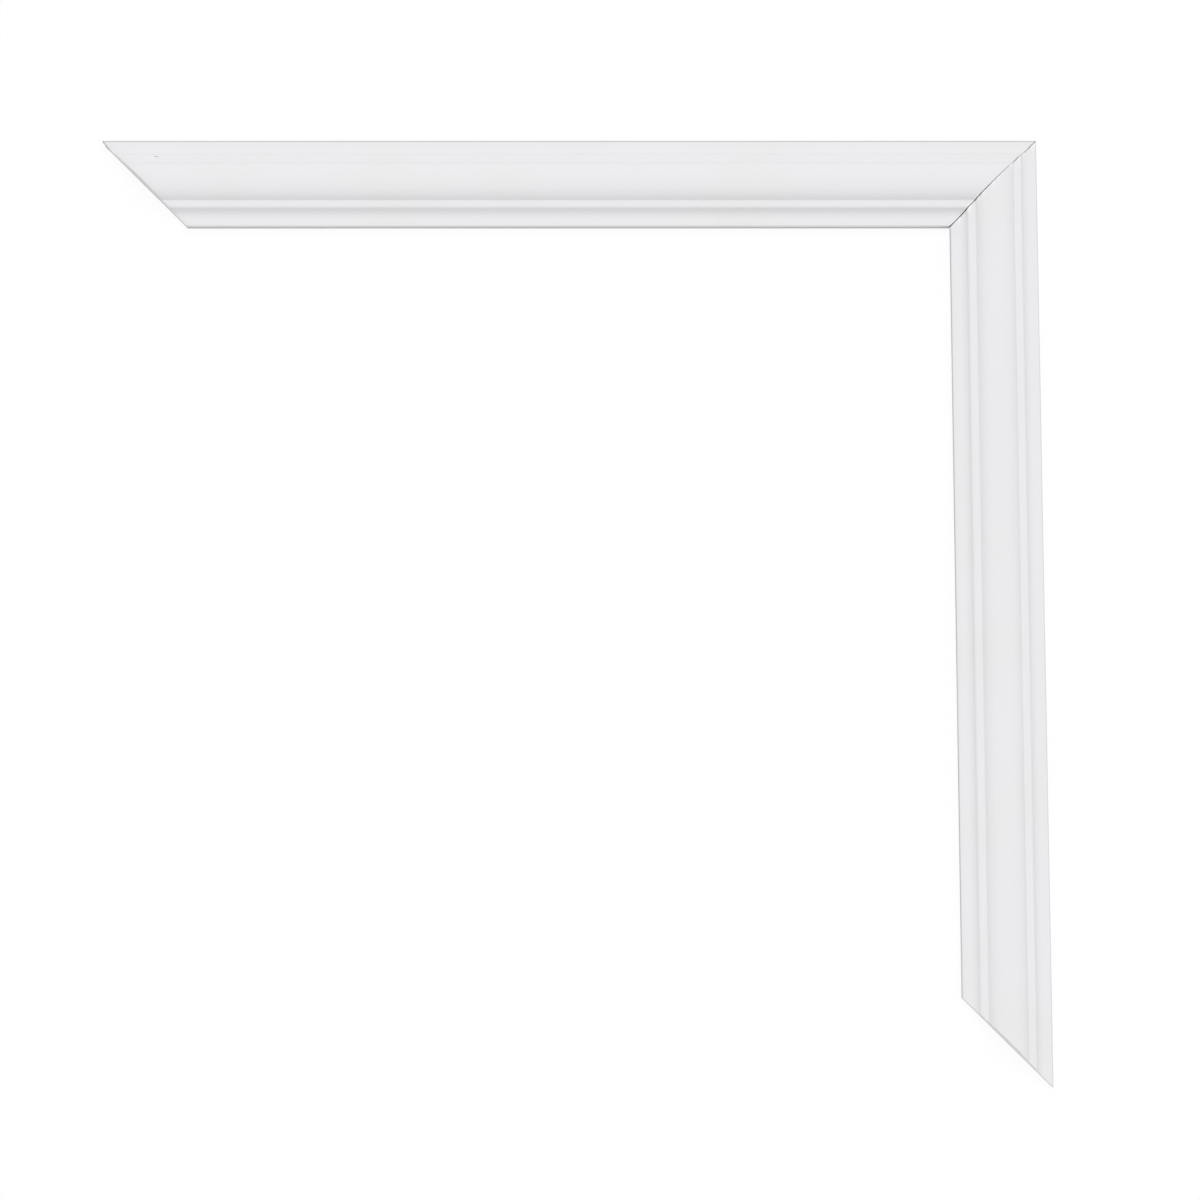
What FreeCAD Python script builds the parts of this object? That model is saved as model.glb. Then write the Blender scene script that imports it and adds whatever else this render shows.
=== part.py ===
import FreeCAD, Part

import math
import os

from FreeCAD import Vector

# Corner of a wall-panel frame: two lengths of one symmetrical panel moulding, both cut to a
# mitre at each end, laid together on their flat backs. Millimetres throughout.
# +X runs along the top length, +Y points out of the frame across it, +Z is out of the wall.

# Stock: each length is measured along its long outer edge, each mitre from the square cut
top_outer_length = 495.0
side_outer_length = 497.5
mitre_angle_deg = 45.0

# Joint: the faces all but touch at the outer corner, and the corner lies a little open
joint_gap = 0.2
corner_opening_deg = 0.2

# Section: flat members, in order from either edge; the crown fills what is left in the middle
moulding_width = 46.0
edge_height = 6.0
band_width = 3.6
fillet_width = 2.3

# Section: radii of the curved members, in the same order
edge_easing = 0.5
cove_radius = 4.9
roll_radius = 1.6
quirk_radius = 0.8
shoulder_radius = 7.8

# Section: how steeply one curve climbs where the next takes over from it
cove_slope_deg = 78.0
foot_slope_deg = 67.0
shoulder_slope_deg = 16.0

# How far the trimming block stands clear of the stock, above and below
trim_clearance = 5.0


def section_point(inset, height):
    # A point of the section: inset from the outer edge, height above the back.
    return Vector(0, -inset, height)


def arc_end(start, first_deg, last_deg, radius):
    # Where an arc ends that leaves a point on one slope and climbs inwards to another slope.
    first = math.radians(first_deg)
    last = math.radians(last_deg)
    across = radius * abs(math.sin(last) - math.sin(first))
    up = radius * abs(math.cos(last) - math.cos(first))
    return (start[0] + across, start[1] + up)


def arc_from(start, first_deg, last_deg, radius):
    # The arc itself, with the point at which it ends.
    middle_deg = (first_deg + last_deg) / 2
    middle = arc_end(start, first_deg, middle_deg, radius)
    end = arc_end(start, first_deg, last_deg, radius)
    arc = Part.Arc(section_point(*start), section_point(*middle), section_point(*end))
    return arc.toShape(), end


def flat_from(start, width):
    # A level stretch, with the point at which it ends.
    end = (start[0] + width, start[1])
    return Part.makeLine(section_point(*start), section_point(*end)), end


def edge_and_band():
    # Square edge face, its eased arris and the flat band.
    arris = (0, edge_height - edge_easing)
    edge_face = Part.makeLine(section_point(0, 0), section_point(*arris))
    easing, band_start = arc_from(arris, 90, 0, edge_easing)
    band, band_end = flat_from(band_start, band_width - edge_easing)
    return [edge_face, easing, band], band_end


def cove_and_fillet(start):
    # Hollow that leaves the band without a break, the rolled edge above it, the flat fillet.
    cove, cove_end = arc_from(start, 0, cove_slope_deg, cove_radius)
    roll, roll_end = arc_from(cove_end, cove_slope_deg, 0, roll_radius)
    fillet, fillet_end = flat_from(roll_end, fillet_width)
    return [cove, roll, fillet], fillet_end


def quirk_and_crown(start):
    # Quirk at the crown's foot, then its shoulder, then the broad arc over its top, which
    # takes the radius that brings it level on the centre line.
    quirk, foot = arc_from(start, 0, foot_slope_deg, quirk_radius)
    shoulder, shoulder_end = arc_from(
        foot, foot_slope_deg, shoulder_slope_deg, shoulder_radius
    )
    reach = moulding_width / 2 - shoulder_end[0]
    crown_radius = reach / math.sin(math.radians(shoulder_slope_deg))
    crown, crest = arc_from(shoulder_end, shoulder_slope_deg, 0, crown_radius)
    return [quirk, shoulder, crown]


def moulding_section():
    # Both halves of the section are alike, so the outer half is drawn and mirrored.
    outer_edges, band_end = edge_and_band()
    cove_edges, fillet_end = cove_and_fillet(band_end)
    half = outer_edges + cove_edges + quirk_and_crown(fillet_end)
    centre = section_point(moulding_width / 2, 0)
    other_half = [edge.mirror(centre, Vector(0, 1, 0)) for edge in half]
    back = Part.makeLine(section_point(0, 0), section_point(moulding_width, 0))
    outline = Part.Wire(Part.__sortEdges__(half + other_half + [back]))
    return Part.Face(outline)


def mitre_block(outer_length, stock_height):
    # Plan of a length between its two mitres, as a block that stands clear of the section.
    setback = moulding_width * math.tan(math.radians(mitre_angle_deg))
    corners = [
        Vector(0, 0, 0),
        Vector(outer_length, 0, 0),
        Vector(outer_length - setback, -moulding_width, 0),
        Vector(setback, -moulding_width, 0),
        Vector(0, 0, 0),
    ]
    plan = Part.Face(Part.makePolygon(corners))
    plan.translate(Vector(0, 0, -trim_clearance))
    return plan.extrude(Vector(0, 0, stock_height + 2 * trim_clearance))


def mitred_length(outer_length):
    # Stock from x = 0 to its outer length, outer edge on y = 0, trimmed to its mitres.
    stock = moulding_section().extrude(Vector(outer_length, 0, 0))
    block = mitre_block(outer_length, stock.BoundBox.ZMax)
    return stock.common(block).Solids[0]


def top_length():
    # Ends at the joint, with its outer corner on the origin.
    piece = mitred_length(top_outer_length)
    piece.translate(Vector(-top_outer_length, 0, 0))
    return piece


def side_length():
    # Turned from the joint by its two mitres, then opened, and set off by the gap.
    piece = mitred_length(side_outer_length)
    turn_deg = corner_opening_deg - 2 * mitre_angle_deg
    piece.rotate(Vector(0, 0, 0), Vector(0, 0, 1), turn_deg)
    mitre = math.radians(mitre_angle_deg)
    away_from_face = Vector(math.cos(mitre), -math.sin(mitre), 0)
    piece.translate(away_from_face * joint_gap)
    return piece


def build_corner():
    # Both lengths, moved together so that the middle of their outline is the origin.
    pieces = {"top_length": top_length(), "side_length": side_length()}
    outline = Part.makeCompound(list(pieces.values())).BoundBox
    for piece in pieces.values():
        piece.translate(Vector(-outline.Center.x, -outline.Center.y, 0))
    return pieces


os.makedirs("parts", exist_ok=True)
for node, piece in build_corner().items():
    piece.exportStep("parts/" + node + ".step")
    print(node, "volume in cubic mm:", round(piece.Volume))
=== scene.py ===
import math

import bpy
import numpy as np
from mathutils import Matrix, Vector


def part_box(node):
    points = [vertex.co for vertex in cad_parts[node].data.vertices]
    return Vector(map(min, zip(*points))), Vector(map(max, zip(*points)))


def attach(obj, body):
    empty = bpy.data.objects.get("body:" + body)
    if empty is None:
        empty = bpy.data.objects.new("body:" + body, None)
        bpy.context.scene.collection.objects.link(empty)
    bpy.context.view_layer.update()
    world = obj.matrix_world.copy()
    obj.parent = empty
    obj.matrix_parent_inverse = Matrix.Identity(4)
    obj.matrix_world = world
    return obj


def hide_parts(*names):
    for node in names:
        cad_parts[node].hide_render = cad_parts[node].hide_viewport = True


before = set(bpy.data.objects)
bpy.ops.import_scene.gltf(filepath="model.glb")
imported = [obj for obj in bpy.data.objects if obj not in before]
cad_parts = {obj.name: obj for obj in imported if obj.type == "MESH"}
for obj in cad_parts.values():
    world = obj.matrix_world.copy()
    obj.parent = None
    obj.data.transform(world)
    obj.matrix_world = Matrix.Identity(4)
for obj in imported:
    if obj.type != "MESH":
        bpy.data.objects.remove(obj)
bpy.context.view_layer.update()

millimetre = 0.001
fullTurn = 6.28  # radians, the range of seeded phases
print("frame loaded:", ", ".join(sorted(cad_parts)))


# Section of the moulding in millimetres and degrees, from either edge in to the crest.
# Slopes are climbing angles where one arc hands over to the next.
sectionSettings = {
    "edgeHeight": 6.0,
    "easing": 0.5,  # outer arris of the band
    "bandWidth": 3.6,
    "coveRadius": 4.9,
    "coveSlope": 78.0,  # where the hollow meets the roll
    "rollRadius": 1.6,
    "filletWidth": 2.3,
    "quirkRadius": 0.8,
    "footSlope": 67.0,  # where the quirk meets the crown's shoulder
    "shoulderRadius": 7.8,
    "shoulderSlope": 16.0,  # where the shoulder meets the broad top of the crown
    "edgeSteps": 12,
    "flatSteps": 12,
    "arcStep": 4.0,  # degrees of slope for each step of an arc, by the size of the arc
    "easingStep": 15.0,
    "quirkStep": 8.0,
    "crownStep": 1.5,
}


# A straight stretch: start + (end - start) * share, for evenly spaced shares.
def flatRun(start, end, steps):
    share = np.linspace(0.0, 1.0, steps + 1)[:, None]
    return np.asarray(start) + (np.asarray(end) - np.asarray(start)) * share


# An arc that leaves start on one slope and ends on another: it goes across by
# radius * |sin(slope) - sin(first)| and up by radius * |cos(slope) - cos(first)|.
def arcRun(start, firstSlope, lastSlope, radius, step):
    steps = max(2, math.ceil(abs(lastSlope - firstSlope) / step))
    slope = np.radians(np.linspace(firstSlope, lastSlope, steps + 1))
    across = radius * np.abs(np.sin(slope) - np.sin(slope[0]))
    up = radius * np.abs(np.cos(slope) - np.cos(slope[0]))
    return np.asarray(start) + np.stack([across, up], 1)


# Half the section as (inset, height): each run starts where the last one ended, and the
# broad arc of the crown gets the radius that brings it level on the centre line.
def halfSection(width, section):
    top = section["edgeHeight"] - section["easing"]
    step = section["arcStep"]
    runs = [flatRun((0.0, 0.0), (0.0, top), section["edgeSteps"])]
    runs.append(arcRun(runs[-1][-1], 90.0, 0.0, section["easing"], section["easingStep"]))
    bandEnd = (section["bandWidth"], section["edgeHeight"])
    runs.append(flatRun(runs[-1][-1], bandEnd, section["flatSteps"]))
    runs.append(arcRun(bandEnd, 0.0, section["coveSlope"], section["coveRadius"], step))
    runs.append(arcRun(runs[-1][-1], section["coveSlope"], 0.0, section["rollRadius"], step))
    filletEnd = runs[-1][-1] + np.array([section["filletWidth"], 0.0])
    runs.append(flatRun(runs[-1][-1], filletEnd, section["flatSteps"]))
    foot, shoulder = section["footSlope"], section["shoulderSlope"]
    runs.append(arcRun(filletEnd, 0.0, foot, section["quirkRadius"], section["quirkStep"]))
    runs.append(arcRun(runs[-1][-1], foot, shoulder, section["shoulderRadius"], step))
    reach = width / 2 - runs[-1][-1][0]
    crownRadius = reach / math.sin(math.radians(shoulder))
    runs.append(arcRun(runs[-1][-1], shoulder, 0.0, crownRadius, section["crownStep"]))
    return np.concatenate([runs[0]] + [run[1:] for run in runs[1:]])


# The whole section: the half, then the same half mirrored about the centre line.
def wholeSection(width, section):
    half = halfSection(width, section)
    mirrored = half[-2::-1] * np.array([-1.0, 1.0]) + np.array([width, 0.0])
    return np.concatenate([half, mirrored]) * millimetre


# Each point's normal: the direction to the next point less the one before, a quarter turned.
def sectionNormals(ring):
    along = np.roll(ring, -1, 0) - np.roll(ring, 1, 0)
    normal = np.stack([-along[:, 1], along[:, 0]], 1)
    return normal / np.linalg.norm(normal, axis=1)[:, None]


# Four corners of each cell of a grid of vertex numbers.
def cellsOf(grid):
    corners = [grid[:-1, :-1], grid[1:, :-1], grid[1:, 1:], grid[:-1, 1:]]
    return np.stack(corners, -1).reshape(-1, 4)


# Six times the volume inside a closed mesh of quads, positive where the faces point outwards.
def signedVolume(points, quads):
    a, b, c, d = (points[quads[:, k]] for k in range(4))
    return float((a * np.cross(b, c)).sum() + (a * np.cross(c, d)).sum())


# Where and how the top length lies, in metres, from its node's box: its outer corner at the
# joint, the ways along and inward, its outer length and its width.
def topPlacing():
    low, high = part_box("top_length")
    return {
        "corner": (high.x, high.y),
        "along": (-1.0, 0.0),
        "inward": (0.0, -1.0),
        "outerLength": high.x - low.x,
        "width": high.y - low.y,
    }


# The same for the side length, which leans by the opening. Its box gives the outer length as
# height / cos(opening), and the corner lies outer length * sin(opening) in from the far side.
def sidePlacing(openingDegrees):
    low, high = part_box("side_length")
    lean = math.radians(openingDegrees)
    outerLength = (high.y - low.y) / math.cos(lean)
    return {
        "corner": (high.x - outerLength * math.sin(lean), high.y),
        "along": (math.sin(lean), -math.cos(lean)),
        "inward": (-math.cos(lean), -math.sin(lean)),
        "outerLength": outerLength,
        "width": topPlacing()["width"],
    }


# Settings of one length, in millimetres: how its arrises, long waves and marks depart from the
# true form, and its painted shade and highlight from the clean white. The top length's come first.
topSettings = {
    "name": "top_length_plaster",
    "node": "top_length",
    "seed": 11,
    "rows": 110,
    "closeRows": (0.0, 0.03, 0.07, 0.12, 0.18, 0.26, 0.4, 0.6, 0.9, 1.5),  # from each cut
    "bluntTip": (0.9, 1.5),  # off the thin corner of the free end, and how far it reaches in
    # the arris round each cut: its radius, how uneven it is, and how much sharper on the crown
    "cutArris": {
        "radius": 0.17,
        "uneven": 0.5,
        "waves": (900.0, 2300.0, 5200.0),  # radians for each metre round the section
        "quickShare": 0.6,
        "crownInset": 22.0,
        "crownReach": 8.0,
        "crownKept": 0.6,
    },
    # long shallow waves, always into the stock
    "waves": {
        "depth": 0.07,
        "length": 140.0,
        "bend": 12.0,
        "count": 4,
        "shorter": 1.7,  # each is this much shorter than the last, and this much weaker
        "weaker": 1.6,
        "sum": 2.4,
        "fadeBelow": 2.0,
    },
    "saw": {"ridge": 0.03, "waves": (2600.0, 700.0, 410.0)},  # radians for each metre
    # painted shade: a dark line along the outer arris and a contact shadow at the foot of the inner
    # edge face
    "paintedShade": {"arris": 1.0, "arrisDrop": 0.1, "arrisWidth": 0.4, "foot": 0.85, "footWidth": 2.3},
    # painted shade along the joint's line, strongest at its outer and inner corners
    "jointPaintedShade": {
        "strength": 0.45,
        "reach": 15.0,
        "inner": 1.0,
        "innerReach": 1.2,
        "width": 0.35,
        "rest": 0.0,
        "restWidth": 1.0,
    },
    # painted shade along the free end's cut, strongest at its thin outer corner, faint along the
    # rest
    "endPaintedShade": {
        "strength": 1.0,
        "reach": 5.0,
        "inner": 0.0,
        "innerReach": 1.2,
        "width": 0.45,
        "rest": 0.13,
        "restWidth": 1.3,
    },
    # painted highlight in patches beside the joint: the higher "fewer" is, the fewer patches are
    # left
    "paintedHighlight": {
        "strength": 0.5,
        "width": 0.5,
        "seed": 5,
        "count": 6,
        "slowest": 500,
        "quickest": 2600,
        "sum": 1.7,
        "fewer": 0.9,
        "fade": 0.35,
    },
    "nick": {
        "along": 465.5,  # from the joint's outer corner
        "inset": 9.9,
        "halfLength": 1.4,
        "halfWidth": 0.55,
        "depth": 0.9,
        "turn": 2.0,  # degrees
        "clusterReach": 2.6,  # its close rows, in half lengths either way
        "clusterRows": 41,
        "clusterClear": 1.05,
        "tintLength": 0.8,  # its tints' size, as shares of its own
        "tintWidth": 0.5,
        "tintAbove": 8.0,
        # painted shade on the nick's outer side and a painted highlight on its inner side
        "paintedShade": {"offAlong": -0.5, "offAcross": -0.2, "strength": 0.6},
        "paintedHighlight": {"offAlong": 0.55, "offAcross": 0.32, "strength": 1.5},
    },
}

# The side length's, where they differ
sideSettings = dict(
    topSettings,
    name="side_length_plaster",
    node="side_length",
    seed=23,
    bluntTip=(0.1, 1.0),
    # painted shade: fainter on the side length's outer arris, wider at its foot, none at its free
    # end
    paintedShade=dict(topSettings["paintedShade"], arris=0.3, foot=0.8, footWidth=3.6),
    endPaintedShade=dict(topSettings["endPaintedShade"], strength=0.0, rest=0.0),
    # painted highlight beside the joint, stronger and wider on the side length
    paintedHighlight=dict(topSettings["paintedHighlight"], strength=1.4, width=1.3, seed=8, fewer=0.4),
    nick=None,
)


# Shares of the way along a length: even, with a close cluster of rows where the nick lies.
def rowShares(settings, outerLength):
    shares = np.linspace(0.0, 1.0, settings["rows"])
    nick = settings["nick"]
    if nick is None:
        return shares
    inset = nick["inset"] * millimetre
    ownLength = outerLength - 2 * inset
    centre = (nick["along"] * millimetre - inset) / ownLength
    spread = nick["clusterReach"] * nick["halfLength"] * millimetre / ownLength
    close = centre + spread * np.linspace(-1.0, 1.0, nick["clusterRows"])
    kept = shares[np.abs(shares - centre) > spread * nick["clusterClear"]]
    return np.sort(np.concatenate([kept, close]))


# Long waves: a sum of seeded sines of the place along, each bent by one of the place across,
# shorter and weaker each time, brought to between 0 and 1.
def longWave(along, across, settings):
    waves = settings["waves"]
    rng = np.random.default_rng(settings["seed"])
    total = np.zeros_like(along)
    for octave in range(waves["count"]):
        length = waves["length"] * millimetre / waves["shorter"] ** octave
        phase = rng.uniform(0, 2 * math.pi, 2)
        turn = rng.uniform(0.3, 0.8)
        bend = turn * np.sin(across / (waves["bend"] * millimetre) + phase[1])
        wave = np.sin(2 * math.pi * along / length + phase[0] + bend)
        total += wave / waves["weaker"] ** octave
    return 0.5 + 0.5 * total / waves["sum"]


# How deep the arris of a cut is worn: e - sqrt(e^2 - (e - d)^2) at distance d from the cut,
# with e a little uneven round the section and less on the crown.
def arrisWear(distance, inset, girth, settings):
    worn = settings["cutArris"]
    phase = settings["seed"]
    slow, middling, quick = worn["waves"]
    uneven = np.sin(girth * slow + phase) * np.sin(girth * middling + 2 * phase)
    uneven = uneven + worn["quickShare"] * np.sin(girth * quick + phase)
    fromCrown = (inset - worn["crownInset"] * millimetre) / (worn["crownReach"] * millimetre)
    share = 1.0 - worn["crownKept"] * np.exp(-(fromCrown**2))
    easing = worn["radius"] * millimetre * share
    easing = easing * (1 + worn["uneven"] * uneven / (1 + worn["quickShare"]))
    inside = np.clip(easing - distance, 0.0, easing)
    return easing - np.sqrt(easing**2 - inside**2)


# A gouge: depth * exp(-(x/a)^2 - (y/b)^2) in a frame turned a little from the length.
def nickDepth(along, girth, centreGirth, nick):
    turn = math.radians(nick["turn"])
    x = along - nick["along"] * millimetre
    y = girth - centreGirth
    across = (x * math.cos(turn) + y * math.sin(turn)) / (nick["halfLength"] * millimetre)
    down = (y * math.cos(turn) - x * math.sin(turn)) / (nick["halfWidth"] * millimetre)
    return nick["depth"] * millimetre * np.exp(-(across**2) - down**2)


# A painted tint beside the nick (painted shade on one side, painted highlight on the other), set off
# along and across it: exp(-(x/a)^2 - (y/b)^2), on the raised part of the face alone.
def nickPatch(local, nick, patch):
    x = local[:, 0] - (nick["along"] + patch["offAlong"]) * millimetre
    y = local[:, 1] - (nick["inset"] + patch["offAcross"]) * millimetre
    x = x / (nick["tintLength"] * nick["halfLength"] * millimetre)
    y = y / (nick["tintWidth"] * nick["halfWidth"] * millimetre)
    tint = patch["strength"] * np.exp(-(x**2) - y**2)
    return np.where(local[:, 2] > nick["tintAbove"] * millimetre, tint, 0.0)


# How much is off the free end's thin corner: blunt * exp(-(inset / reach)^2).
def bluntnessAt(inset, settings):
    blunt, reach = (value * millimetre for value in settings["bluntTip"])
    return blunt * np.exp(-((inset / reach) ** 2))


# Painted shade round one cut, the strongest of three: strength * exp(-(inset / reach)^4), strongest
# at the outer corner, inner * exp(-((width - inset) / inner reach)^2), strongest at the inner
# corner, both times exp(-distance / width), and rest * exp(-distance / rest width).
def cutPaintedShade(distance, inset, wholeWidth, marks):
    outer = marks["strength"] * np.exp(-((inset / (marks["reach"] * millimetre)) ** 4))
    fromInner = (wholeWidth - inset) / (marks["innerReach"] * millimetre)
    strength = np.maximum(outer, marks["inner"] * np.exp(-(fromInner**2)))
    near = strength * np.exp(-distance / (marks["width"] * millimetre))
    rest = marks["rest"] * np.exp(-distance / (marks["restWidth"] * millimetre))
    return np.maximum(near, rest)


# Painted shade, from 0 to 1: a dark line along the outer arris and a painted contact shadow at the
# foot of the inner edge face, each exp(-(way round / width)^2), with the painted shade of the joint
# and of the free end over it, and painted shade on one side of the nick.
def paintedShadeOf(local, wayRound, foot, place, section, settings):
    marks = settings["paintedShade"]
    arrisAt = (section["edgeHeight"] - marks["arrisDrop"]) * millimetre
    arris = (wayRound - arrisAt) / (marks["arrisWidth"] * millimetre)
    low = (wayRound - foot) / (marks["footWidth"] * millimetre)
    paintedShade = marks["arris"] * np.exp(-(arris**2)) + marks["foot"] * np.exp(-(low**2))
    along, inset = local[:, 0], local[:, 1]
    fromJoint = np.abs(along - inset)
    fromEnd = np.abs(place["outerLength"] - inset - bluntnessAt(inset, settings) - along)
    paintedShade = np.maximum(paintedShade, cutPaintedShade(fromJoint, inset, place["width"], settings["jointPaintedShade"]))
    paintedShade = np.maximum(paintedShade, cutPaintedShade(fromEnd, inset, place["width"], settings["endPaintedShade"]))
    if settings["nick"]:
        paintedShade = paintedShade + nickPatch(local, settings["nick"], settings["nick"]["paintedShade"])
    return np.clip(paintedShade, 0.0, 1.0)


# Painted highlight, from 0 to 1: exp(-(distance from the joint / width)^2), in seeded patches
# round the section, and a painted highlight on the lower side of the nick.
def paintedHighlightOf(local, wayRound, settings):
    marks = settings["paintedHighlight"]
    rng = np.random.default_rng(marks["seed"])
    patches = np.zeros_like(wayRound)
    for wave in range(marks["count"]):
        pace = rng.uniform(marks["slowest"], marks["quickest"])
        patches = patches + np.sin(wayRound * pace + rng.uniform(0, fullTurn))
    patches = np.clip((patches / marks["sum"] - marks["fewer"]) / marks["fade"], 0.0, 1.0)
    distance = np.abs(local[:, 0] - local[:, 1]) / (marks["width"] * millimetre)
    paintedHighlight = marks["strength"] * patches * np.exp(-(distance**2))
    if settings["nick"]:
        paintedHighlight = paintedHighlight + nickPatch(local, settings["nick"], settings["nick"]["paintedHighlight"])
    return np.clip(paintedHighlight, 0.0, 1.0)


# The closed ring of the section: the face from edge to edge, then the flat back, with the
# normals and the way round from the outer foot.
def ringOf(place, section):
    face = wholeSection(place["width"] / millimetre, section)
    levels = section["edgeSteps"]
    back = face[len(face) - levels - 2:levels:-1] * np.array([1.0, 0.0])
    points = np.concatenate([face, back])
    steps = np.linalg.norm(np.diff(points, axis=0), axis=1)
    return {
        "points": points,
        "normals": sectionNormals(points),
        "girth": np.concatenate([[0.0], np.cumsum(steps)]),
        "faceCount": len(face),
        "levels": levels,
    }


# The place along the length of every point, row by row, and its distance from the nearer
# cut. A row runs at a fixed share of the way from mitre to mitre: the first cut lies at the
# inset, the last at the outer length less the inset and less what is off the thin corner.
def rowsAlong(ring, place, settings):
    inset = ring["points"][None, :, 0]
    close = np.array(settings["closeRows"])[:, None] * millimetre
    shares = rowShares(settings, place["outerLength"])[1:-1, None]
    firstCut = inset
    lastCut = place["outerLength"] - inset - bluntnessAt(inset, settings)
    nearEnd = firstCut + close
    farEnd = lastCut - close[::-1]
    middle = nearEnd[-1] + (farEnd[0] - nearEnd[-1]) * shares
    along = np.concatenate([nearEnd, middle, farEnd])
    return along, np.minimum(along - firstCut, lastCut - along)


# The way round at which the nick lies: that of the raised face point nearest to its inset.
def nickGirth(ring, section, nick):
    face = ring["points"][:ring["faceCount"]]
    high = face[:, 1] > section["edgeHeight"] * millimetre / 2
    away = np.abs(face[:, 0] - nick["inset"] * millimetre) + np.where(high, 0.0, 1.0)
    return ring["girth"][np.argmin(away)]


# The tube as a grid of (along, across, up): each point of the ring goes in along its normal by
# the arris wear, the long waves and the nick together, and stays above the floor.
def tubeGrid(along, distance, ring, section, settings):
    inset, height = ring["points"][None, :, 0], ring["points"][None, :, 1]
    girth = np.broadcast_to(ring["girth"], along.shape)
    waves = settings["waves"]
    raised = np.clip(height / (waves["fadeBelow"] * millimetre), 0.0, 1.0)
    depth = arrisWear(distance, inset, girth, settings)
    wave = longWave(along, inset, settings) * raised
    depth = depth + waves["depth"] * millimetre * wave
    nick = settings["nick"]
    if nick:
        depth = depth + nickDepth(along, girth, nickGirth(ring, section, nick), nick)
    across = inset - ring["normals"][None, :, 0] * depth
    up = np.maximum(height - ring["normals"][None, :, 1] * depth, 0.0)
    return np.stack([along, across, up], -1)


# The grid that closes one end: back + (face - back) * share over the points between the two
# edge faces, less a faint saw ridge, which is a product of two sines of across and up.
def endGrid(rim, ring, inwards, rng, settings):
    levels, faceCount = ring["levels"], ring["faceCount"]
    columns = np.arange(levels, faceCount - levels)
    share = np.linspace(0.0, 1.0, levels + 1)[:, None, None]
    back = rim[backOrder(ring)]
    grid = back[None] + (rim[columns] - back)[None] * share
    fine, rising, broad = settings["saw"]["waves"]
    ridge = np.sin(grid[..., 1] * fine + grid[..., 2] * rising + rng.uniform(0, fullTurn))
    ridge = 0.5 + 0.5 * ridge * np.sin(grid[..., 1] * broad + rng.uniform(0, fullTurn))
    grid[..., 0] += inwards * settings["saw"]["ridge"] * millimetre * ridge
    return grid


# Points of the back in the order of the face points above them.
def backOrder(ring):
    last = ring["faceCount"] - 1
    between = np.arange(len(ring["points"]) - 1, last, -1)
    return np.concatenate([[0], between, [last]])


# Vertex numbers of an end's grid: its border is the tube's own rim, and only the points
# inside it are new, numbered from first.
def endNumbers(rimNumbers, ring, first):
    levels, faceCount = ring["levels"], ring["faceCount"]
    columns = np.arange(levels, faceCount - levels)
    numbers = np.zeros((levels + 1, len(columns)), int)
    numbers[0] = rimNumbers[backOrder(ring)]
    numbers[-1] = rimNumbers[columns]
    numbers[:, 0] = rimNumbers[:levels + 1]
    numbers[:, -1] = rimNumbers[faceCount - 1:faceCount - levels - 2:-1]
    inner = (levels - 1) * (len(columns) - 2)
    numbers[1:-1, 1:-1] = first + np.arange(inner).reshape(levels - 1, -1)
    return numbers


# The closed solid: the tube and the grids over its two ends, as points, quads, and the number
# of the first quad on an end.
def closedSolid(tube, ring, settings):
    rowCount, ringCount = tube.shape[:2]
    numbers = np.arange(rowCount * ringCount).reshape(rowCount, ringCount)
    quads = [cellsOf(np.concatenate([numbers, numbers[:, :1]], 1))]
    points = [tube.reshape(-1, 3)]
    rng = np.random.default_rng(settings["seed"] + 1)
    for row, inwards in ((0, 1.0), (rowCount - 1, -1.0)):
        grid = endGrid(tube[row], ring, inwards, rng, settings)
        first = sum(len(group) for group in points)
        cells = cellsOf(endNumbers(numbers[row], ring, first))
        points.append(grid[1:-1, 1:-1].reshape(-1, 3))
        quads.append(cells if inwards > 0 else cells[:, ::-1])
    return np.concatenate(points), np.concatenate(quads), len(quads[0])


# The run map: the place along and the way round on the tube, across and up on the ends.
def runMapOf(along, ring, local, quads, sawnFrom):
    points, girth = ring["points"], ring["girth"]
    closing = girth[-1] + np.linalg.norm(points[-1] - points[0])
    loopAlong = np.concatenate([along, along[:, :1]], 1)
    loopGirth = np.broadcast_to(np.append(girth, closing), loopAlong.shape)
    loop = np.stack([loopAlong, loopGirth], -1).reshape(-1, 2)
    tubeMap = loop[cellsOf(np.arange(loopAlong.size).reshape(loopAlong.shape))]
    endMap = local[quads[sawnFrom:]][:, :, 1:]
    return np.concatenate([tubeMap, endMap])


# From (along, across, up) to world: corner + along * run + across * inward.
def inWorld(local, place):
    corner, run, inward = (np.array(place[key]) for key in ("corner", "along", "inward"))
    level = corner + local[:, :1] * run + local[:, 1:2] * inward
    return np.concatenate([level, local[:, 2:]], 1)


# One length of moulding: the section carried along from mitre to mitre, closed at both ends.
def mouldedLength(place, section, settings):
    ring = ringOf(place, section)
    along, distance = rowsAlong(ring, place, settings)
    tube = tubeGrid(along, distance, ring, section, settings)
    local, quads, sawnFrom = closedSolid(tube, ring, settings)
    world = inWorld(local, place)
    runMap = runMapOf(along, ring, local, quads, sawnFrom)
    if signedVolume(world, quads) < 0:
        quads = quads[:, ::-1]
        runMap = runMap[:, ::-1]
    # points inside the ends have no way round, so they get one far from every mark
    wayRound = np.full(len(local), 1.0)
    wayRound[:along.size] = np.broadcast_to(ring["girth"], along.shape).ravel()
    foot = ring["girth"][ring["faceCount"] - 1]
    paintedShade = paintedShadeOf(local, wayRound, foot, place, section, settings)
    paintedHighlight = paintedHighlightOf(local, wayRound, settings)
    return world, quads, runMap, sawnFrom, {"paintedShade": paintedShade, "paintedHighlight": paintedHighlight}


sharpAngle = 50.0  # degrees between two faces, past which their edge shades sharp


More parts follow.
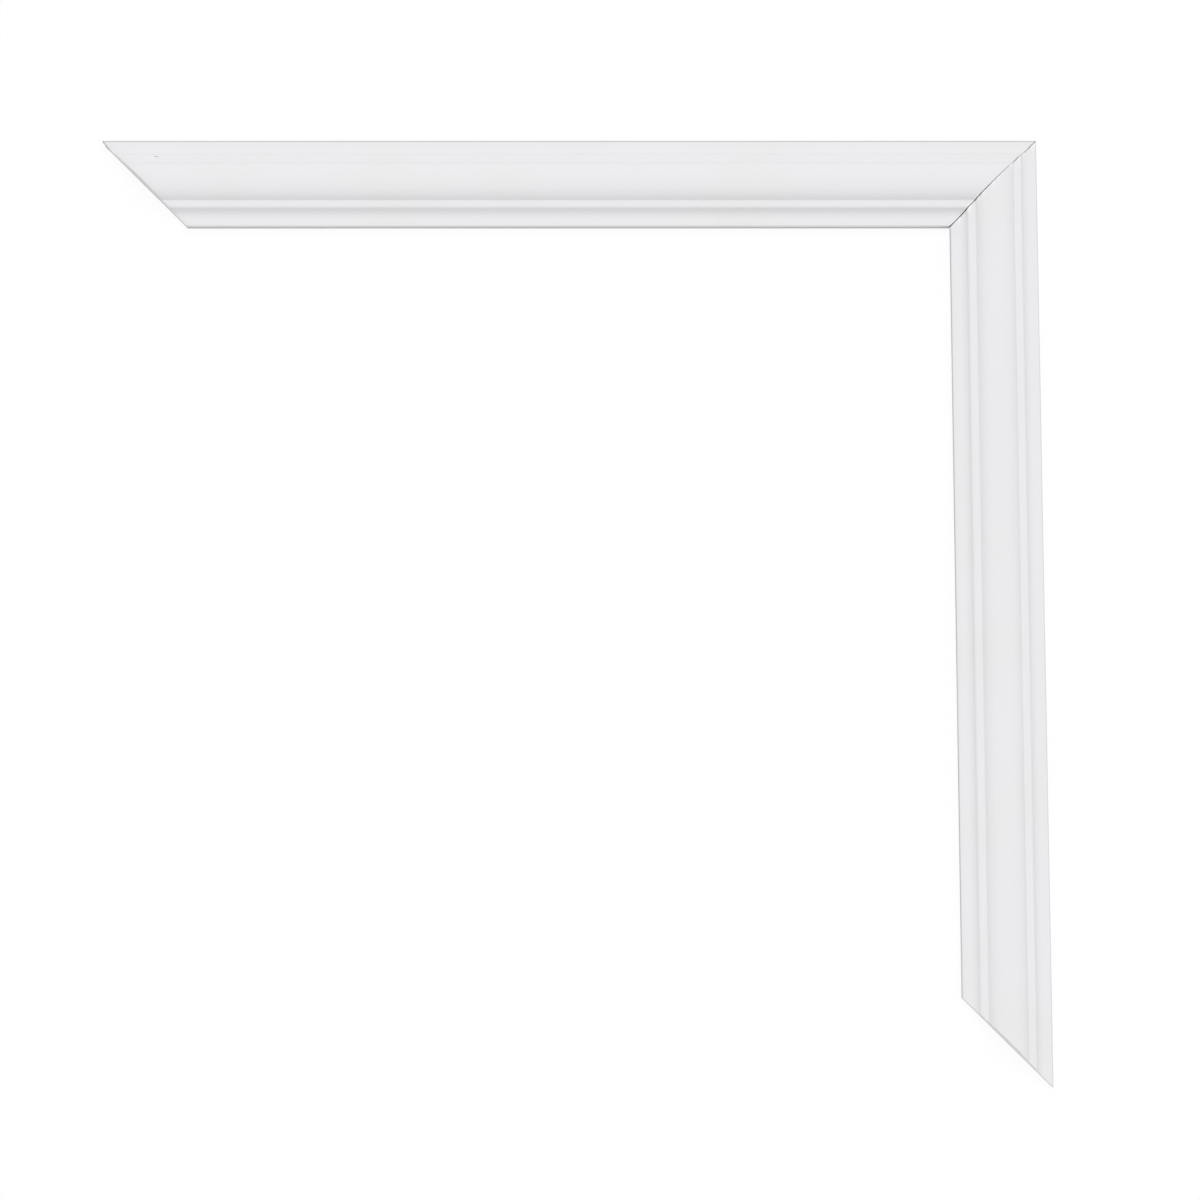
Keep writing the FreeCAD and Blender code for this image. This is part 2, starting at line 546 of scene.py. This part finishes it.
# Puts worked-out points and quads into a new mesh object at the origin.
def pieceFrom(name, shape, materials):
    world, quads, runMap, sawnFrom, tints = shape
    mesh = bpy.data.meshes.new(name)
    mesh.vertices.add(len(world))
    mesh.vertices.foreach_set("co", world.astype(np.float32).ravel())
    mesh.loops.add(quads.size)
    mesh.loops.foreach_set("vertex_index", quads.astype(np.int32).ravel())
    mesh.polygons.add(len(quads))
    mesh.polygons.foreach_set("loop_start", np.arange(0, quads.size, 4, dtype=np.int32))
    for material in materials:
        mesh.materials.append(material)
    sawn = np.zeros(len(quads), np.int32)
    sawn[sawnFrom:] = 1
    mesh.polygons.foreach_set("material_index", sawn)
    mesh.polygons.foreach_set("use_smooth", np.ones(len(quads), bool))
    layer = mesh.uv_layers.new(name="run")
    layer.data.foreach_set("uv", runMap.astype(np.float32).ravel())
    for label, values in tints.items():
        marks = mesh.attributes.new(label, "FLOAT", "POINT")
        marks.data.foreach_set("value", values.astype(np.float32))
    mesh.update(calc_edges=True)
    mesh.validate()
    mesh.set_sharp_from_angle(angle=math.radians(sharpAngle))
    piece = bpy.data.objects.new(name, mesh)
    bpy.context.scene.collection.objects.link(piece)
    return piece


# One output socket of a material. Plain sums on it, or on it and numbers, add Math nodes.
class Wire:
    def __init__(self, paint, socket):
        self.paint = paint
        self.socket = socket

    def maths(self, operation, first, second):
        return self.paint.node("ShaderNodeMath", {"operation": operation}, {0: first, 1: second})

    def __add__(self, other):
        return self.maths("ADD", self, other)

    def __radd__(self, other):
        return self.maths("ADD", other, self)

    def __sub__(self, other):
        return self.maths("SUBTRACT", self, other)

    def __rsub__(self, other):
        return self.maths("SUBTRACT", other, self)

    def __mul__(self, other):
        return self.maths("MULTIPLY", self, other)

    def __rmul__(self, other):
        return self.maths("MULTIPLY", other, self)


# One material or world: node() adds any node from its type, its settings (set first) and the
# values or wires of its sockets, by name or number.
class Paint:
    def __init__(self, owner):
        owner.use_nodes = True
        self.tree = owner.node_tree
        self.tree.nodes.clear()

    def node(self, kind, settings=None, sockets=None, output=0):
        made = self.tree.nodes.new(kind)
        for key, value in (settings or {}).items():
            setattr(made, key, value)
        for key, value in (sockets or {}).items():
            if isinstance(value, Wire):
                self.tree.links.new(value.socket, made.inputs[key])
            else:
                made.inputs[key].default_value = value
        return Wire(self, made.outputs[output]) if len(made.outputs) else made

    # noise between 0 and 1 on given coordinates
    def noise(self, coordinates, scale, detail=2.0, roughness=0.5):
        sockets = {"Vector": coordinates, "Scale": scale, "Detail": detail, "Roughness": roughness}
        return self.node("ShaderNodeTexNoise", None, sockets)

    # distance from the nearest centre of a pattern of cells
    def cells(self, coordinates, scale):
        return self.node("ShaderNodeTexVoronoi", None, {"Vector": coordinates, "Scale": scale})

    # a mark worked out with the mesh, by its name
    def marks(self, label):
        return self.node("ShaderNodeAttribute", {"attribute_name": label}, None, 2)

    # 0 below low, 1 above high, smooth between; it may run the other way
    def fade(self, value, low, high, start=0.0, end=1.0):
        sockets = {"Value": value, "From Min": low, "From Max": high, "To Min": start, "To Max": end}
        return self.node("ShaderNodeMapRange", {"interpolation_type": "SMOOTHSTEP"}, sockets)

    # relief as a normal, its whole height in metres
    def bump(self, relief, depth):
        sockets = {"Strength": 1.0, "Distance": depth, "Height": relief}
        return self.node("ShaderNodeBump", None, sockets)

    # the shader of a matt finish, and the material's output
    def surface(self, colour, roughness, specular, bump):
        sockets = {"Base Color": colour, "Roughness": roughness, "Normal": bump}
        sockets["Specular IOR Level"] = specular
        shader = self.node("ShaderNodeBsdfPrincipled", None, sockets)
        self.node("ShaderNodeOutputMaterial", None, {"Surface": shader})

    # one colour turning into another
    def mix(self, share, first, second):
        sockets = {0: share, 6: first, 7: second}
        return self.node("ShaderNodeMix", {"data_type": "RGBA"}, sockets, 2)


# Smooth cast face: even white, faint cloudy tone, fine tooth, a few pinholes with painted shade,
# faint drawn lines
faceFinish = {
    "colour": (0.826, 0.8215, 0.845, 1.0),
    "deepTone": (0.813, 0.810, 0.812, 1.0),
    # painted shade in the pinholes
    "poreShadeTone": (0.70, 0.70, 0.70, 1.0),
    # painted shade: outer arris line, contact shadow at the foot, the joint and the free end
    "paintedShadeTone": (0.34, 0.34, 0.35, 1.0),
    # painted highlight beside the joint and the nick
    "paintedHighlightTone": (0.97, 0.97, 0.96, 1.0),
    "cloudScale": 16.0,
    "speckScale": 352.0,
    "toothScale": 2600.0,
    "drawnScale": (3.0, 1200.0, 1.0),
    "cloudShares": (0.8, 0.2),  # of the cloud and of the speck in the tone
    "cloudFade": (0.35, 0.75),
    "poreScale": 260.0,
    "poreSize": (0.03, 0.066),
    "poreSparseness": 0.31,
    "poreFade": (0.74, 0.78),
    "poreShadeShare": 0.5,
    "roughness": (0.62, 0.76),
    "specular": 0.3,
    "relief": {"tooth": 0.22, "drawn": 0.13, "speck": 0.2, "pinhole": 1.4},
    "bumpDepth": 0.00005,
}


# Tone: colour to deep tone by the cloudy noise, then painted pore shade, highlight and shade over
# it.
# Relief: tooth, drawn lines and speck added up, less the pinholes.
def facePaint():
    finish = faceFinish
    material = bpy.data.materials.new("white_plaster_face")
    paint = Paint(material)
    place = paint.node("ShaderNodeTexCoord", None, None, 3)
    run = paint.node("ShaderNodeUVMap", {"uv_map": "run"})
    cloud = paint.noise(place, finish["cloudScale"], 4.0, 0.55)
    speck = paint.noise(place, finish["speckScale"], 2.0)
    tooth = paint.noise(place, finish["toothScale"], 2.0)
    drawnAt = {"Vector": run, "Scale": finish["drawnScale"]}
    drawn = paint.noise(paint.node("ShaderNodeMapping", None, drawnAt), 1.0, 3.0, 0.6)

    # pinholes: cells near their centre, kept only where a second pattern is high
    pore = paint.cells(place, finish["poreScale"])
    near = paint.fade(pore, *finish["poreSize"], 1.0, 0.0)
    second = paint.noise(place, finish["poreScale"] * finish["poreSparseness"], 0.0)
    pinhole = near * paint.fade(second, *finish["poreFade"])

    cloudShare, speckShare = finish["cloudShares"]
    cloudy = paint.fade(cloud * cloudShare + speck * speckShare, *finish["cloudFade"])
    tone = paint.mix(cloudy, finish["colour"], finish["deepTone"])
    poreShaded = paint.mix(pinhole * finish["poreShadeShare"], tone, finish["poreShadeTone"])
    highlighted = paint.mix(paint.marks("paintedHighlight"), poreShaded, finish["paintedHighlightTone"])
    colour = paint.mix(paint.marks("paintedShade"), highlighted, finish["paintedShadeTone"])
    low, high = finish["roughness"]
    rough = low + (high - low) * (0.5 * cloud + 0.5 * tooth)
    rise = finish["relief"]
    relief = tooth * rise["tooth"] + drawn * rise["drawn"] + speck * rise["speck"]
    bump = paint.bump(relief - pinhole * rise["pinhole"], finish["bumpDepth"])
    paint.surface(colour, rough, finish["specular"], bump)
    return material


# Sawn end: the same white, a shade duller and greyer, with fine saw lines and open pores with
# painted shade
sawnFinish = {
    "colour": (0.83, 0.83, 0.83, 1.0),
    "lineTone": (0.74, 0.74, 0.735, 1.0),
    # painted shade in the open pores
    "poreShadeTone": (0.50, 0.49, 0.48, 1.0),
    # painted shade of the joint and the free end over the sawn faces
    "paintedShadeTone": (0.34, 0.34, 0.35, 1.0),
    "lineScale": (900.0, 60.0, 1.0),
    "lineSlant": 12.0,
    "lineFade": (0.42, 0.68),
    "grainScale": 1500.0,
    "poreScale": 900.0,
    "poreFade": (0.09, 0.19),
    "poreShadeShare": 0.45,
    "unevenScale": 2070.0,
    "unevenShare": 0.22,
    "groupScale": 315.0,
    "groupFade": (0.5, 0.64),
    "groupShare": 0.16,
    "roughness": 0.9,
    "specular": 0.2,
    "relief": {"line": 0.6, "grain": 0.4, "pore": 0.8},
    "bumpDepth": 0.00012,
}


# Tone: colour to line tone by a stretched, slanted noise, then painted pore shade and painted shade
# over it.
# Relief: lines and grain added up, less the pores.
def sawnPaint():
    finish = sawnFinish
    material = bpy.data.materials.new("white_plaster_sawn")
    paint = Paint(material)
    place = paint.node("ShaderNodeTexCoord", None, None, 3)
    run = paint.node("ShaderNodeUVMap", {"uv_map": "run"})
    slant = (0.0, 0.0, math.radians(finish["lineSlant"]))
    lineAt = {"Vector": run, "Rotation": slant, "Scale": finish["lineScale"]}
    line = paint.noise(paint.node("ShaderNodeMapping", None, lineAt), 1.0, 3.0, 0.65)
    grain = paint.noise(place, finish["grainScale"], 3.0, 0.6)

    # open pores of uneven outline and size, gathered in loose groups
    uneven = paint.noise(place, finish["unevenScale"], 2.0)
    pore = paint.cells(place, finish["poreScale"])
    grouping = paint.noise(place, finish["groupScale"], 1.0)
    group = paint.fade(grouping, *finish["groupFade"], 0.0, finish["groupShare"])
    ragged = pore + uneven * finish["unevenShare"] - group
    openPore = paint.fade(ragged, *finish["poreFade"], 1.0, 0.0)

    tone = paint.mix(paint.fade(line, *finish["lineFade"]), finish["colour"], finish["lineTone"])
    poreShaded = paint.mix(openPore * finish["poreShadeShare"], tone, finish["poreShadeTone"])
    colour = paint.mix(paint.marks("paintedShade"), poreShaded, finish["paintedShadeTone"])
    rise = finish["relief"]
    relief = line * rise["line"] + grain * rise["grain"] - openPore * rise["pore"]
    bump = paint.bump(relief, finish["bumpDepth"])
    paint.surface(colour, finish["roughness"], finish["specular"], bump)
    return material


finishes = [facePaint(), sawnPaint()]
print("finishes made:", ", ".join(material.name for material in finishes))

cornerOpening = 0.2  # degrees past square
for settings, place in ((topSettings, topPlacing()), (sideSettings, sidePlacing(cornerOpening))):
    shape = mouldedLength(place, sectionSettings, settings)
    piece = pieceFrom(settings["name"], shape, finishes)
    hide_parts(settings["node"])
    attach(piece, "root")
    print("length made:", piece.name, len(piece.data.polygons), "faces")


# Floor and light: a pale floor that shows white to the camera and still takes a soft shadow
stageSettings = {
    "floorHalf": 6.0,
    "floorDrop": 0.0001,
    "floorColour": (0.84, 0.84, 0.84, 1.0),
    "shadowShare": 0.1,
    "skyStrength": 0.77,
    "lampStrength": 0.795,
    "lampSoftness": 35.0,
    "lampElevation": 68.0,
    "lampAzimuth": 90.0,
}


# 1 where the camera, a mirror or glass looks at it, 0 where it only gives light
def lookedAt(paint):
    camera = paint.node("ShaderNodeLightPath", None, None, "Is Camera Ray")
    mirror = paint.node("ShaderNodeLightPath", None, None, "Is Glossy Ray")
    glass = paint.node("ShaderNodeLightPath", None, None, "Is Transmission Ray")
    return camera + mirror + glass


# A square floor: to the camera it is white light with a small share of its own shading
def makeFloor(stage):
    half, drop = stage["floorHalf"], stage["floorDrop"]
    mesh = bpy.data.meshes.new("studio_floor")
    sides = [(-half, -half), (half, -half), (half, half), (-half, half)]
    mesh.from_pydata([(x, y, -drop) for x, y in sides], [], [(0, 1, 2, 3)])
    floor = bpy.data.objects.new("studio_floor", mesh)
    bpy.context.scene.collection.objects.link(floor)
    material = bpy.data.materials.new("studio_floor_white")
    paint = Paint(material)
    share = stage["shadowShare"]
    plain = paint.node("ShaderNodeBsdfDiffuse", None, {"Color": stage["floorColour"]})
    glow = paint.node("ShaderNodeEmission", None, {"Strength": 1.0 - share})
    shade = paint.node("ShaderNodeBsdfDiffuse", None, {"Color": (share, share, share, 1.0)})
    seen = paint.node("ShaderNodeAddShader", None, {0: glow, 1: shade})
    shader = paint.node("ShaderNodeMixShader", None, {0: lookedAt(paint), 1: plain, 2: seen})
    paint.node("ShaderNodeOutputMaterial", None, {"Surface": shader})
    mesh.materials.append(material)


# An even white sky, brighter to the camera than it is as light
def makeSky(stage):
    world = bpy.data.worlds.new("studio_sky")
    bpy.context.scene.world = world
    paint = Paint(world)
    white = (1.0, 1.0, 1.0, 1.0)
    dimmed = {"Color": white, "Strength": stage["skyStrength"]}
    light = paint.node("ShaderNodeBackground", None, dimmed)
    seen = paint.node("ShaderNodeBackground", None, {"Color": white, "Strength": 1.0})
    shader = paint.node("ShaderNodeMixShader", None, {0: lookedAt(paint), 1: light, 2: seen})
    paint.node("ShaderNodeOutputWorld", None, {"Surface": shader})


# One broad soft lamp, far off: azimuth from +X, elevation up from the floor
def makeLamp(stage):
    lamp = bpy.data.lights.new("studio_lamp", "SUN")
    lamp.energy = stage["lampStrength"]
    lamp.angle = math.radians(stage["lampSoftness"])
    holder = bpy.data.objects.new("studio_lamp", lamp)
    turn = Matrix.Rotation(math.radians(stage["lampAzimuth"] - 90.0), 4, "Z")
    tip = Matrix.Rotation(math.radians(stage["lampElevation"] - 90.0), 4, "X")
    holder.matrix_world = turn @ tip
    bpy.context.scene.collection.objects.link(holder)


# Camera over the corner, looking almost straight down
cameraSettings = {
    "place": (-0.23618, -0.51102, 2.07469),  # from the top length's outer corner
    "pitch": 7.3242,
    "yaw": -0.1437,
    "roll": -0.0225,
    "lens": 119.969,
    "sensor": 36.0,
    "clip": (0.05, 50.0),
}


# Turned by pitch about X, then yaw about Y, then roll about Z, each about its own axes
def makeCamera(view):
    camera = bpy.data.cameras.new("camera")
    camera.lens = view["lens"]
    camera.sensor_width = view["sensor"]
    camera.clip_start, camera.clip_end = view["clip"]
    holder = bpy.data.objects.new("camera", camera)
    pitch = Matrix.Rotation(math.radians(view["pitch"]), 4, "X")
    yaw = Matrix.Rotation(math.radians(view["yaw"]), 4, "Y")
    roll = Matrix.Rotation(math.radians(view["roll"]), 4, "Z")
    cornerX, cornerY = topPlacing()["corner"]
    away = view["place"]
    place = (cornerX + away[0], cornerY + away[1], away[2])
    holder.matrix_world = Matrix.Translation(place) @ pitch @ yaw @ roll
    bpy.context.scene.collection.objects.link(holder)
    bpy.context.scene.camera = holder


makeFloor(stageSettings)
makeSky(stageSettings)
makeLamp(stageSettings)
makeCamera(cameraSettings)
bpy.context.scene.view_settings.view_transform = "Standard"
print("floor, light and camera set")
